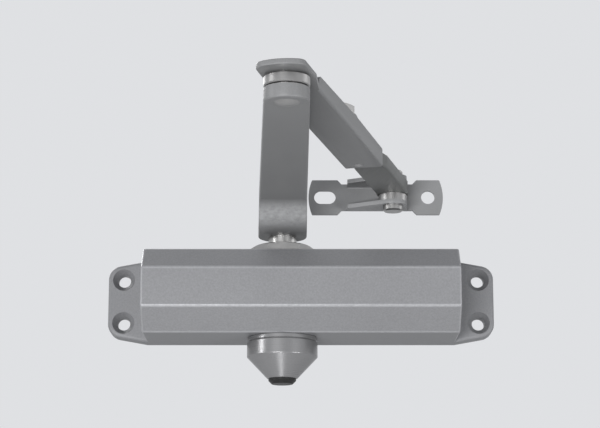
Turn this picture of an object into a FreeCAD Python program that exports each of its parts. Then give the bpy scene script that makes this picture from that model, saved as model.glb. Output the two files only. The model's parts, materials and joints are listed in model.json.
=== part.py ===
"""Surface door closer: rack-and-pinion body, cranked main arm, adjustable forearm and shoe.

Millimetres. The origin is the centre of the mounting face. X runs along the body, the body stands
out towards -Y, and +Z is the spindle axis, pointing up as the closer is installed.
"""
import FreeCAD, Part
import math
import os
import re
import Sketcher

DIMENSIONS = [
    # casting
    ("body_length", 134.4, "casting between its end faces"),
    ("body_height", 36.0, "casting across the spindle ends"),
    ("body_depth", 45.6, "mounting face to front face"),
    ("bevel_depth", 10.4, "depth taken by the sloping front bands"),
    ("front_height", 16.6, "flat front face between the bands"),
    ("edge_round", 1.2, "rounding of the long outer edges"),
    ("end_round", 0.8, "rounding around the end faces"),
    ("lug_length", 17.0, "mounting lug beyond each end face"),
    ("lug_thickness", 8.5, "mounting lug thickness"),
    ("lug_taper", 3.1, "lug narrower at its outer end, on each side"),
    ("lug_corner", 6.0, "outer corner radius of the lug"),
    ("lug_rim", 1.3, "rounded rim of the lug"),
    ("hole_inset", 6.7, "mounting holes from the outer end of the lugs"),
    ("hole_pitch_short", 19.0, "mounting holes across the body"),
    ("hole_radius", 2.8, "mounting hole"),
    ("countersink_radius", 4.8, "mouth of the mounting hole"),
    ("countersink_depth", 3.4, "depth of the tapered mouth"),
    ("bore_radius", 12.0, "piston bore"),
    ("spindle_x", -8.0, "spindle axis along the body"),
    ("spindle_depth", 21.0, "spindle axis in front of the mounting face"),
    # end plugs and oil valves
    ("plug_length", 9.0, "end plug"),
    ("plug_recess", 0.8, "end plug below the end face"),
    ("plug_socket", 10.0, "hexagon socket across flats"),
    ("plug_socket_depth", 5.0, "hexagon socket"),
    ("ring_groove_width", 2.4, "seal groove"),
    ("ring_wire", 1.8, "seal ring section"),
    ("valve_radius", 3.0, "valve screw bore"),
    ("valve_length", 12.0, "valve screw barrel"),
    ("valve_recess", 1.0, "valve screw below the end face"),
    ("valve_depth", 39.5, "valve axes in front of the mounting face"),
    ("valve_spacing", 12.0, "between the two valve axes"),
    ("needle_radius", 1.1, "valve needle"),
    ("needle_length", 4.0, "valve needle"),
    ("channel_radius", 1.2, "oil channel"),
    ("port_radius", 0.8, "oil port into the bore"),
    ("valve_ring_wire", 1.2, "valve seal section"),
    ("slot_width", 1.2, "screwdriver slot"),
    # bearings
    ("nut_flats", 23.5, "bearing nut across flats"),
    ("nut_height", 3.6, "bearing nut above the casting"),
    ("nut_thread_radius", 10.5, "bearing nut thread"),
    ("nut_thread_length", 5.7, "bearing nut inside the casting"),
    ("nut_lip", 1.0, "lip that keeps the shaft seal"),
    ("bush_radius", 7.5, "bearing bush outside"),
    ("seal_radius", 8.6, "shaft seal outside"),
    ("seal_height", 2.4, "shaft seal"),
    ("running_gap", 0.05, "radial play of shafts, piston and valve screws"),
    # spindle and rack
    ("journal_radius", 6.0, "spindle journals"),
    ("gear_module", 1.25, "tooth size"),
    ("pinion_teeth", 10, "teeth on the spindle"),
    ("pinion_end_gap", 1.3, "between the teeth's ends and the bushes"),
    ("tooth_play", 0.16, "play between tooth flanks"),
    ("spindle_square", 9.8, "square ends across flats"),
    ("arm_seat_height", 7.7, "arm seat above the casting"),
    ("lower_end_length", 13.0, "lower square end below the casting"),
    ("journal_proud", 1.0, "round journal beyond the lower nut"),
    ("turn_range", 135.0, "spindle travel in degrees"),
    ("piston_head", 9.0, "solid piston heads"),
    ("window_play", 0.6, "room around the pinion in the piston window"),
    ("ball_radius", 2.0, "check valve ball"),
    ("spring_wire", 3.0, "closing spring wire"),
    ("spring_radius", 8.2, "closing spring mean radius"),
    ("spring_turns", 7.5, "closing spring turns"),
    # spindle cap
    ("cap_radius", 15.1, "spindle cap at the casting"),
    ("cap_straight", 6.5, "cylindrical part of the cap"),
    ("cap_cone", 9.2, "tapering part of the cap"),
    ("cap_tip_radius", 6.4, "end of the taper"),
    ("cap_wall", 1.4, "cap shell"),
    ("collar_height", 2.0, "ring between casting and cap"),
    ("cap_plug_height", 2.3, "end button of the cap"),
    ("cap_plug_radius", 4.4, "stem of the end button"),
    # main arm
    ("arm_length", 178.0, "spindle axis to elbow axis"),
    ("arm_angle", 1.0, "main arm from square to the body, in degrees"),
    ("arm_thickness", 4.9, "main arm"),
    ("hub_width", 21.0, "main arm at the spindle"),
    ("elbow_width", 16.0, "main arm at the elbow"),
    ("joggle_rise", 9.8, "step up of the main arm"),
    ("joggle_start", 13.0, "step begins this far from the spindle axis"),
    ("joggle_run", 14.0, "length of the step"),
    ("joggle_round", 5.0, "inside bend radius of the step"),
    ("arm_screw_radius", 3.0, "arm screw thread"),
    ("arm_screw_length", 13.0, "arm screw under its head"),
    ("arm_screw_flats", 10.0, "arm screw head across flats"),
    ("arm_screw_head", 4.0, "arm screw head height"),
    ("arm_washer_radius", 7.5, "washer under the arm screw"),
    ("arm_washer_height", 1.5, "washer under the arm screw"),
    # elbow joint
    ("elbow_gap", 4.9, "main arm to forearm"),
    ("elbow_pin_radius", 3.6, "elbow pin"),
    ("elbow_head_radius", 4.5, "riveted head under the arm"),
    ("elbow_head_height", 1.0, "riveted head under the arm"),
    ("elbow_spacer_radius", 8.1, "bright spacer in the elbow"),
    ("elbow_relief_radius", 6.2, "reduced ends of the spacer"),
    ("elbow_relief_height", 0.6, "reduced ends of the spacer"),
    ("elbow_nut_flats", 10.0, "elbow nut across flats"),
    ("elbow_nut_height", 2.0, "elbow nut"),
    ("elbow_pin_proud", 0.4, "pin above the elbow nut"),
    # forearm
    ("forearm_angle", 13.7, "forearm from square to the body, in degrees"),
    ("channel_offset", -1.25, "middle of the channel beside the line from elbow to shoe"),
    ("channel_width", 16.0, "outer channel"),
    ("channel_height", 7.5, "outer channel flanges"),
    ("flange_start", 20.0, "flanges begin this far from the elbow axis"),
    ("flange_low", 5.5, "flanges where they begin"),
    ("flange_rise", 84.0, "flanges are full from here on"),
    ("flange_corner", 3.0, "front corner of the flanges"),
    ("nose_left", 8.7, "web at the elbow, left of the pin"),
    ("nose_right", 9.0, "web at the elbow, right of the pin"),
    ("nose_side", 11.0, "sides of the web in front of the pin"),
    ("nose_bulge", 2.6, "rounding of the web's front"),
    ("nose_corner_left", 5.5, "left corner of the web's front"),
    ("nose_corner_right", 3.5, "right corner of the web's front"),
    ("nose_rim", 0.4, "rounded rim of the web's front"),
    ("nose_shoulder", 6.0, "web narrows to the flange from here"),
    ("sheet_wall", 2.0, "sheet thickness of channel and rod"),
    ("bend_inside", 0.5, "inside bend radius of channel and rod"),
    ("bend_outside", 0.9, "outside bend radius of channel and rod"),
    ("channel_length", 134.5, "elbow axis to the open end of the channel"),
    ("slide_gap", 0.1, "play between channel and rod"),
    ("rod_height", 5.6, "rod flanges"),
    ("rod_width", 13.8, "rod outside the channel"),
    ("rod_joggle", 0.8, "step down of the rod beyond the channel"),
    ("rod_joggle_run", 6.0, "length of that step"),
    ("clamp_place", 82.0, "clamp stud from the elbow axis"),
    ("clamp_radius", 2.8, "clamp stud"),
    ("clamp_rise", 0.6, "clamp nut above the rod's flanges"),
    ("slide_out", 22.0, "forearm adjustment outwards"),
    ("slide_in", 3.0, "forearm adjustment inwards"),
    ("clamp_nut_flats", 13.0, "clamp nut across flats"),
    ("clamp_nut_height", 3.4, "clamp nut"),
    ("clamp_collar_radius", 3.5, "collar between rod and clamp nut"),
    ("rod_tail", 8.0, "rod beyond its slot"),
    ("dimple_radius", 2.3, "punched dimple under the channel end"),
    ("dimple_place", 4.5, "dimple from the channel end"),
    ("dimple_side", 2.3, "dimple left of the forearm's line"),
    ("ear_place", 0.4, "ear beyond the clamp stud"),
    ("ear_proud", 0.5, "ear above the flange"),
    ("ear_half", 3.5, "half the ear's length"),
    # shoe
    ("shoe_back", 13.4, "shoe pivot to the back of the plate"),
    ("shoe_length", 59.9, "shoe plate"),
    ("shoe_left", 37.0, "plate left of the pivot"),
    ("shoe_height", 13.1, "shoe across its ears"),
    ("wing_height", 15.7, "shoe plate across its wings"),
    ("wing_bulge", 1.6, "rounded ends of the wings"),
    ("wing_rim", 0.5, "corners of the wings"),
    ("wing_step", 2.5, "plate widens this far from the ears"),
    ("wing_step_run", 1.8, "length of that widening"),
    ("shoe_wall", 1.8, "shoe sheet thickness"),
    ("shoe_notch", 0.6, "bend relief depth"),
    ("shoe_bend", 1.0, "inside bend radius of the ears"),
    ("ear_left", 19.8, "ears left of the pivot"),
    ("ear_right", 6.8, "ears right of the pivot"),
    ("ear_nose", 6.2, "round end of the ears"),
    ("ear_shallow", 8.6, "ears at their left edge, from the back"),
    ("shoe_hole_radius", 3.0, "round fixing hole"),
    ("shoe_hole_place", 16.2, "round hole right of the pivot"),
    ("shoe_slot_place", 29.7, "slot left of the pivot"),
    ("shoe_slot_length", 9.6, "fixing slot"),
    ("rivet_radius", 3.2, "shoe rivet shank"),
    ("rivet_head_radius", 4.4, "shoe rivet heads"),
    ("rivet_head_height", 2.6, "shoe rivet heads"),
    ("lower_spacer_radius", 6.15, "bright washer under the rod eye"),
    ("lower_spacer_height", 3.0, "bright washer under the rod eye"),
    ("upper_spacer_radius", 4.4, "sleeve over the rod eye"),
]

doc = FreeCAD.newDocument("door_closer")
sheet = doc.addObject("Spreadsheet::Sheet", "dims")
NAMES = {row[0] for row in DIMENSIONS}
pieces = []


def fill_sheet():
    """One row for each driving dimension: its name, its value and what it is."""
    for row, (name, value, note) in enumerate(DIMENSIONS, start=1):
        sheet.set(f"A{row}", name)
        sheet.set(f"B{row}", str(value))
        sheet.set(f"C{row}", note)
        sheet.setAlias(f"B{row}", name)
    doc.recompute()


def bound(text):
    """The expression with each dimension's name pointing at its cell."""
    return re.sub(r"[a-z_]+", lambda word: "dims." + word.group() if word.group() in NAMES
                  else word.group(), str(text))


def size(text):
    """The present value of an expression."""
    return float(sheet.evalExpression(bound(text)))


fill_sheet()

# Levels above the casting's middle, from the bottom of the stack to its top.
CASTING_TOP = "body_height / 2"
ARM_SEAT = f"{CASTING_TOP} + arm_seat_height"
ARM_UNDER = f"{ARM_SEAT} + joggle_rise"
ARM_TOP = f"{ARM_UNDER} + arm_thickness"
CHANNEL_UNDER = f"{ARM_TOP} + elbow_gap"
ROD_UNDER = f"{CHANNEL_UNDER} + sheet_wall + slide_gap"
ROD_EYE = f"{ROD_UNDER} - rod_joggle"
SHOE_EAR = f"{ROD_EYE} - slide_gap - lower_spacer_height - shoe_wall"

# Places in plan.
ELBOW_X = "spindle_x + arm_length * sin(arm_angle)"
ELBOW_Y = "-spindle_depth - arm_length * cos(arm_angle)"
REACH = f"((-shoe_back - ({ELBOW_Y})) / cos(forearm_angle))"
PIVOT_X = f"{ELBOW_X} + {REACH} * sin(forearm_angle)"

# Gear proportions.
PITCH_RADIUS = "(gear_module * pinion_teeth / 2)"
TIP_RADIUS = f"({PITCH_RADIUS} + gear_module)"
RACK_REACH = 0.58  # rack tooth height above its pitch line, in modules: no undercut on ten teeth
PINION_ROOT = f"({PITCH_RADIUS} - {RACK_REACH} * gear_module - 0.25 * gear_module)"
STROKE = f"({PITCH_RADIUS} * turn_range * pi / 180)"
PINION_HALF = "(body_height / 2 - nut_thread_length - pinion_end_gap)"
PRESSURE_ANGLE = 20.0


def place(thing, x="0", y="0", z="0", turn="0", about=(0, 0, 1)):
    """Bind a placement to the sheet: a point, and a turn about an axis in degrees."""
    spin = FreeCAD.Rotation(FreeCAD.Vector(*about), size(turn))
    thing.Placement = FreeCAD.Placement(FreeCAD.Vector(), spin)
    for axis, text in zip("xyz", (x, y, z)):
        thing.setExpression(f"Placement.Base.{axis}", bound(text))
    if any(name in turn for name in NAMES):
        thing.setExpression("Placement.Rotation.Angle", bound(turn))


class Via:
    """A point that an arc passes on its way between two corners, and the arc's radius."""

    def __init__(self, x, y, radius):
        self.spot = (x, y)
        self.radius = radius


def flat(x, y):
    return FreeCAD.Vector(size(x), size(y), 0)


def pin_down(sketch, geometry, point, x, y):
    """Tie a sketch point's two coordinates to expressions."""
    for kind, text in (("DistanceX", x), ("DistanceY", y)):
        index = sketch.addConstraint(Sketcher.Constraint(kind, geometry, point, size(text)))
        sketch.setExpression(f"Constraints[{index}]", bound(text))


def outline(*spots):
    """A closed line through corners, with an arc wherever a Via stands between two of them."""
    def draw(sketch):
        corners = [spot for spot in spots if not isinstance(spot, Via)]
        vias = {}
        for index, spot in enumerate(spots):
            if isinstance(spot, Via):
                vias[sum(not isinstance(other, Via) for other in spots[:index]) - 1] = spot
        first = sketch.GeometryCount
        count = len(corners)
        ends = []
        for index, corner in enumerate(corners):
            start = flat(*corner)
            stop = flat(*corners[(index + 1) % count])
            if index in vias:
                middle = flat(*vias[index].spot)
                clockwise = (middle - start).cross(stop - middle).z < 0
                first_point, last_point = (stop, start) if clockwise else (start, stop)
                sketch.addGeometry(Part.Arc(first_point, middle, last_point), False)
                ends.append((2, 1) if clockwise else (1, 2))
            else:
                sketch.addGeometry(Part.LineSegment(start, stop), False)
                ends.append((1, 2))
        for index, corner in enumerate(corners):
            after = (index + 1) % count
            sketch.addConstraint(Sketcher.Constraint(
                "Coincident", first + index, ends[index][1], first + after, ends[after][0]))
            pin_down(sketch, first + index, ends[index][0], *corner)
        for index, via in vias.items():
            radius = sketch.addConstraint(Sketcher.Constraint("Radius", first + index, size(via.radius)))
            sketch.setExpression(f"Constraints[{radius}]", bound(via.radius))
    return draw


def half_round(x, y, radius, start):
    """Half a circle about a point, run anticlockwise from the given angle, for an outline."""
    spots = []
    for step in range(5):
        angle = math.radians(start + 45 * step)
        spot = (f"{x} + ({radius}) * {math.cos(angle):.9f}", f"{y} + ({radius}) * {math.sin(angle):.9f}")
        spots.append(Via(*spot, radius) if step % 2 else spot)
    return spots


def circle(x, y, radius):
    def draw(sketch):
        index = sketch.addGeometry(Part.Circle(flat(x, y), FreeCAD.Vector(0, 0, 1), size(radius)), False)
        pin_down(sketch, index, 3, x, y)
        tie = sketch.addConstraint(Sketcher.Constraint("Radius", index, size(radius)))
        sketch.setExpression(f"Constraints[{tie}]", bound(radius))
    return draw


def rectangle(left, bottom, right, top):
    return outline((left, bottom), (right, bottom), (right, top), (left, top))


def hexagon(flats, turn=0):
    """A regular hexagon about the origin, with a corner at the given angle."""
    corner = f"({flats}) / sqrt(3)"
    return outline(*[(f"{corner} * {math.cos(math.radians(turn + 60 * step)):.9f}",
                      f"{corner} * {math.sin(math.radians(turn + 60 * step)):.9f}") for step in range(6)])


def octagon(x, y, radius):
    """A regular octagon around a circle, with flat sides on the axes."""
    corner = f"({radius}) / cos(22.5)"
    return outline(*[(f"{x} + {corner} * {math.cos(math.radians(22.5 + 45 * step)):.9f}",
                      f"{y} + {corner} * {math.sin(math.radians(22.5 + 45 * step)):.9f}")
                     for step in range(8)])


class Piece:
    """One sub-part as a body, with short names for the features that shape it."""

    def __init__(self, name, **spot):
        self.body = doc.addObject("PartDesign::Body", name)
        self.body.Label = name
        self.datum = {feature.Role: feature for feature in self.body.Origin.OriginFeatures}
        place(self.body, **spot)
        pieces.append(self.body)

    def sketch(self, plane, drawings, offset="0"):
        sketch = self.body.newObject("Sketcher::SketchObject", self.body.Name + "_sketch")
        sketch.AttachmentSupport = [(self.datum[plane + "_Plane"], "")]
        sketch.MapMode = "FlatFace"
        sketch.setExpression("AttachmentOffset.Base.z", bound(offset))
        for draw in drawings:
            draw(sketch)
        return sketch

    def feature(self, kind, **values):
        made = self.body.newObject("PartDesign::" + kind, self.body.Name + "_" + kind.lower())
        for name, value in values.items():
            setattr(made, name, value)
        return made

    def pad(self, plane, length, *drawings, offset="0", both_ways=False, backwards=False):
        """Grow the sketch along its plane's normal: +Z, -Y or +X."""
        made = self.feature("Pad", Profile=self.sketch(plane, drawings, offset), Reversed=backwards)
        made.setExpression("Length", bound(length))
        if both_ways:
            made.SideType = "Symmetric"
        return made

    def cut(self, plane, depth, *drawings, offset="0", forwards=False):
        """Cut against the plane's normal, or along it when forwards."""
        made = self.feature("Pocket", Profile=self.sketch(plane, drawings, offset), Reversed=forwards)
        made.setExpression("Length", bound(depth))
        return made

    def cut_through(self, plane, *drawings):
        made = self.feature("Pocket", Profile=self.sketch(plane, drawings), SideType="Symmetric")
        made.Type = "ThroughAll"
        return made

    def revolve(self, axis, *drawings, plane="XZ"):
        return self.feature("Revolution", Profile=self.sketch(plane, drawings),
                            ReferenceAxis=(self.datum[axis + "_Axis"], [""]))

    def groove(self, axis, *drawings, plane="XZ"):
        return self.feature("Groove", Profile=self.sketch(plane, drawings),
                            ReferenceAxis=(self.datum[axis + "_Axis"], [""]))

    def around(self, feature, axis, count):
        """Repeat a feature evenly about an axis."""
        made = self.feature("PolarPattern", Originals=[feature], Angle=360)
        made.Axis = (self.datum[axis + "_Axis"], [""])
        made.setExpression("Occurrences", bound(count))
        self.body.Tip = made
        return made

    def edges(self, wanted):
        doc.recompute()
        found = [f"Edge{index}" for index, edge in enumerate(self.body.Tip.Shape.Edges, start=1)
                 if wanted(edge)]
        if not found:
            raise RuntimeError("no edge found on " + self.body.Label)
        return self.body.Tip, found

    def round(self, radius, wanted):
        made = self.feature("Fillet", Base=self.edges(wanted))
        made.setExpression("Radius", bound(radius))
        return made

    def bevel(self, width, wanted):
        made = self.feature("Chamfer", Base=self.edges(wanted))
        made.setExpression("Size", bound(width))
        return made


def near(value, target):
    return abs(value - size(target)) < 0.01


def runs(edge, axis):
    """True for a straight edge along X, Y or Z."""
    box = edge.BoundBox
    lengths = {"x": box.XLength, "y": box.YLength, "z": box.ZLength}
    return all((length > 0.01) == (name == axis) for name, length in lengths.items())


def ring_at(edge, radius, level, axis="z"):
    """True for a full circle of that radius about the local axis, at that level along it."""
    box = edge.BoundBox
    spans = {"x": (box.XLength, box.XMin), "y": (box.YLength, box.YMin), "z": (box.ZLength, box.ZMin)}
    thickness, lowest = spans.pop(axis)
    return (thickness < 0.01 and near(lowest, level)
            and all(near(span, f"2 * ({radius})") for span, start in spans.values()))


# ---------------------------------------------------------------- casting

def casting():
    """Die-cast body: faceted prism, two mounting lugs, piston bore, spindle bore, oil channels."""
    piece = Piece("body_casting")
    side = "-(body_depth - bevel_depth)"
    piece.pad("YZ", "body_length", outline(
        ("0", "-body_height / 2"), (side, "-body_height / 2"), ("-body_depth", "-front_height / 2"),
        ("-body_depth", "front_height / 2"), (side, "body_height / 2"), ("0", "body_height / 2")),
        both_ways=True)
    piece.round("edge_round", lambda edge: runs(edge, "x") and edge.CenterOfMass.y < -1)
    piece.round("end_round", lambda edge: near(abs(edge.CenterOfMass.x), "body_length / 2")
                and edge.BoundBox.XLength < 0.01 and edge.CenterOfMass.y < -1)
    for mirror in ("", "-"):
        inner = f"{mirror}(body_length / 2 - lug_length / 2)"
        corner = f"{mirror}(body_length / 2)"
        outer = f"{mirror}(body_length / 2 + lug_length)"
        piece.pad("XZ", "lug_thickness", outline(
            (inner, "-body_height / 2"), (corner, "-body_height / 2"),
            (outer, "-(body_height / 2 - lug_taper)"), (outer, "body_height / 2 - lug_taper"),
            (corner, "body_height / 2"), (inner, "body_height / 2")))
    lug_end = "body_length / 2 + lug_length"
    piece.round("lug_corner", lambda edge: runs(edge, "y") and near(abs(edge.CenterOfMass.x), lug_end))
    piece.round("lug_rim", lambda edge: near(edge.BoundBox.YMin, "-lug_thickness")
                and near(edge.BoundBox.YMax, "-lug_thickness")
                and abs(edge.CenterOfMass.x) > size("body_length / 2") + 0.5)
    piece.cut_through("YZ", circle("-spindle_depth", "0", "bore_radius"))
    piece.cut_through("XY", circle("spindle_x", "-spindle_depth", "nut_thread_radius"))
    for x in ("-(body_length / 2 + lug_length - hole_inset)", "body_length / 2 + lug_length - hole_inset"):
        for z in ("-hole_pitch_short / 2", "hole_pitch_short / 2"):
            mounting_hole(piece, x, z)
    for z in ("-valve_spacing / 2", "valve_spacing / 2"):
        oil_way(piece, z)
    return piece


def mounting_hole(piece, x, z):
    """A plain hole with a tapered mouth on the lug's front."""
    piece.cut("XZ", "lug_thickness + lug_rim", circle(x, z, "hole_radius"),
              offset="lug_thickness + lug_rim")
    mouth = piece.feature("SubtractiveCone")
    mouth.AttachmentSupport = [(piece.datum["XZ_Plane"], "")]
    mouth.MapMode = "FlatFace"
    mouth.setExpression("AttachmentOffset.Base.x", bound(x))
    mouth.setExpression("AttachmentOffset.Base.y", bound(z))
    mouth.setExpression("AttachmentOffset.Base.z", bound("lug_thickness - countersink_depth"))
    mouth.setExpression("Radius1", bound("hole_radius"))
    mouth.setExpression("Radius2", bound("countersink_radius"))
    mouth.setExpression("Height", bound("countersink_depth"))


def oil_way(piece, z):
    """A valve bore in the left end, its long channel, and ports into both ends of the piston bore."""
    left = "-body_length / 2"
    piece.cut("YZ", "valve_recess + valve_length + needle_length / 2",
              circle("-valve_depth", z, "valve_radius"), offset=left, forwards=True)
    piece.cut("YZ", "body_length / 2 + spindle_x + 2 * bore_radius + 20",
              circle("-valve_depth", z, "channel_radius"), offset=left, forwards=True)
    left_port = f"{left} + valve_recess + valve_length + needle_length / 4"
    right_port = "spindle_x + 2 * bore_radius + 18"
    for x in (left_port, right_port):
        piece.cut("XZ", "valve_depth - spindle_depth", circle(x, z, "port_radius"),
                  offset="valve_depth")


# ---------------------------------------------------------------- end plugs and valves

def end_plug(name, right):
    """Threaded plug with a seal groove and a hexagon socket; local +X points out of the bore."""
    spot = {"x": "body_length / 2 - plug_recess"} if right else \
           {"x": "-body_length / 2 + plug_recess", "turn": "180"}
    piece = Piece(name, y="-spindle_depth", **spot)
    groove_in = "-plug_length / 2 - ring_groove_width / 2"
    groove_out = "-plug_length / 2 + ring_groove_width / 2"
    bottom = "bore_radius - ring_wire"
    piece.revolve("X", outline(
        ("-plug_length", "0"), ("-plug_length", "bore_radius - 1"), ("-plug_length + 1", "bore_radius"),
        (groove_in, "bore_radius"), (groove_in, bottom), (groove_out, bottom),
        (groove_out, "bore_radius"), ("-0.8", "bore_radius"), ("0", "bore_radius - 0.8"), ("0", "0")))
    piece.cut("YZ", "plug_socket_depth", hexagon("plug_socket"))
    return piece


def plug_seal(name, right):
    """Rubber ring in the plug's groove."""
    sign = "" if right else "-"
    seal_ring(name, "bore_radius - ring_wire / 2", "ring_wire / 2", y="-spindle_depth",
              x=f"{sign}(body_length / 2 - plug_recess - plug_length / 2)")


def seal_ring(name, ring, wire, **spot):
    """A ring about the X direction: its middle radius and half its thickness."""
    piece = Piece(name, **spot)
    piece.revolve("X", octagon("0", ring, wire))


def valve_screw(name, z):
    """Speed valve: slotted barrel with a seal groove and a needle; local +X points inwards."""
    piece = Piece(name, x="-body_length / 2 + valve_recess", y="-valve_depth", z=z)
    barrel = "valve_radius - running_gap"
    groove_in = "valve_length / 2 - valve_ring_wire / 2 - 0.2"
    groove_out = "valve_length / 2 + valve_ring_wire / 2 + 0.2"
    bottom = "valve_radius - valve_ring_wire"
    piece.revolve("X", outline(
        ("0", "0"), ("0", f"{barrel} - 0.4"), ("0.4", barrel), (groove_in, barrel), (groove_in, bottom),
        (groove_out, bottom), (groove_out, barrel), ("valve_length - 0.5", barrel),
        ("valve_length", f"{barrel} - 0.5"), ("valve_length", "needle_radius"),
        ("valve_length + needle_length - 1.5", "needle_radius"),
        ("valve_length + needle_length", "0.3"), ("valve_length + needle_length", "0")))
    piece.cut("YZ", "1.5", rectangle("-valve_radius", "-slot_width / 2", "valve_radius",
                                     "slot_width / 2"), forwards=True)
    return piece


def valve_seal(name, z):
    seal_ring(name, "valve_radius - valve_ring_wire / 2 - running_gap / 2",
              "valve_ring_wire / 2 - running_gap / 2", y="-valve_depth", z=z,
              x="-body_length / 2 + valve_recess + valve_length / 2")


# ---------------------------------------------------------------- bearings

def bearing_spot(upper):
    """Local +Z points out of the casting at the spindle axis."""
    spot = {"x": "spindle_x", "y": "-spindle_depth"}
    if upper:
        return dict(spot, z=CASTING_TOP)
    return dict(spot, z=f"-({CASTING_TOP})", turn="180", about=(1, 0, 0))


def bearing_nut(name, upper):
    """Hexagon nut that closes the spindle bore and holds the bush and the shaft seal."""
    piece = Piece(name, **bearing_spot(upper))
    piece.pad("XY", "nut_height", hexagon("nut_flats", turn=2.5))
    piece.pad("XY", "nut_thread_length", circle("0", "0", "nut_thread_radius"), backwards=True)
    seal_floor = "nut_height - nut_lip - seal_height"
    lip_hole = "journal_radius + 0.5"
    piece.groove("Z", outline(
        ("0", "-nut_thread_length - 1"), ("bush_radius", "-nut_thread_length - 1"),
        ("bush_radius", seal_floor), ("seal_radius", seal_floor), ("seal_radius", "nut_height - nut_lip"),
        (lip_hole, "nut_height - nut_lip"), (lip_hole, "nut_height + 1"), ("0", "nut_height + 1")))
    corner = "nut_flats / sqrt(3) + 0.5"
    piece.groove("Z", outline(("nut_flats / 2 - 0.2", "nut_height + 0.01"), (corner, "nut_height - 1"),
                              (corner, "nut_height + 0.01")))
    return piece


def bearing_bush(name, upper):
    piece = Piece(name, **bearing_spot(upper))
    piece.pad("XY", "nut_thread_length + nut_height - nut_lip - seal_height",
              circle("0", "0", "bush_radius"), circle("0", "0", "journal_radius + running_gap"),
              offset="-nut_thread_length")
    return piece


def shaft_seal(name, upper):
    """Lip seal: a ring with a sloping lip towards the oil."""
    piece = Piece(name, **bearing_spot(upper))
    floor = "nut_height - nut_lip - seal_height"
    top = "nut_height - nut_lip"
    inner = "journal_radius + running_gap"
    piece.revolve("Z", outline(
        (f"{inner} + 1", floor), ("seal_radius", floor), ("seal_radius", top), (f"{inner} + 1.2", top),
        (f"{inner} + 1", f"{top} - 0.8"), (inner, f"{floor} + 1"), (inner, f"{floor} + 0.4")))
    return piece


# ---------------------------------------------------------------- spindle, rack and spring

def involute(angle):
    return math.tan(angle) - angle


def tooth_gap():
    """The space between two pinion teeth, opening towards -Y, from its root past the tip circle."""
    pitch_radius = size(PITCH_RADIUS)
    teeth = size("pinion_teeth")
    pressure = math.radians(PRESSURE_ANGLE)
    base = pitch_radius * math.cos(pressure)
    play = size("tooth_play") / (4 * pitch_radius)

    def half_gap(radius):
        reached = math.acos(min(base / radius, 1.0))
        half_tooth = math.pi / (2 * teeth) + involute(pressure) - involute(reached) - play
        return math.pi / teeth - half_tooth

    steps = 4
    tip = size(TIP_RADIUS)
    radii = [base + (tip - base) * (step / steps) ** 1.5 for step in range(steps + 1)]
    flank = [(radius * math.sin(half_gap(radius)), -radius * math.cos(half_gap(radius)))
             for radius in radii]
    beyond = (flank[-1][0] + 0.4, flank[-1][1] - 1)
    root = size(PINION_ROOT)
    foot = (root * math.sin(half_gap(base)), -root * math.cos(half_gap(base)))
    side = [foot] + flank + [beyond]
    return outline(*side, *[(-x, y) for x, y in reversed(side)])


def square(half, turn="0"):
    """A square about the origin, turned by an angle in degrees."""
    return outline(*[(f"({half}) * sqrt(2) * cos({start} + {turn})",
                      f"({half}) * sqrt(2) * sin({start} + {turn})") for start in (45, 135, 225, 315)])


def square_ring():
    """What is cut from a round shaft to leave a square."""
    return circle("0", "0", "journal_radius + 1"), square("spindle_square / 2")


def pinion_spindle():
    """Spindle with journals, teeth in the middle and a square at each end."""
    piece = Piece("pinion_spindle", x="spindle_x", y="-spindle_depth")
    top = f"{ARM_SEAT} + arm_thickness - 0.3"
    bottom = f"-({CASTING_TOP}) - lower_end_length"
    piece.revolve("Z", outline(
        ("0", bottom), ("journal_radius - 0.6", bottom), ("journal_radius", f"{bottom} + 0.6"),
        ("journal_radius", f"-{PINION_HALF}"), (TIP_RADIUS, f"-{PINION_HALF}"),
        (TIP_RADIUS, PINION_HALF), ("journal_radius", PINION_HALF),
        ("journal_radius", f"{top} - 0.6"), ("journal_radius - 0.6", top), ("0", top)))
    gap = piece.cut("XY", f"2 * {PINION_HALF}", tooth_gap())
    gap.SideType = "Symmetric"
    piece.around(gap, "Z", "pinion_teeth")
    piece.cut("XY", "arm_thickness - 0.3", *square_ring(), offset=top)
    piece.cut("XY", "lower_end_length - nut_height - journal_proud", *square_ring(), offset=bottom,
              forwards=True)
    piece.cut("XY", "arm_screw_length", circle("0", "0", "arm_screw_radius"), offset=top)


WINDOW_LEFT = f"({STROKE} + {TIP_RADIUS} + window_play)"
WINDOW_RIGHT = f"({TIP_RADIUS} + window_play)"
PISTON_LEFT = f"(-{WINDOW_LEFT} - piston_head)"
PISTON_RIGHT = f"({WINDOW_RIGHT} + piston_head)"
BALL_POCKET = "(2.6 * ball_radius)"


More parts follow.
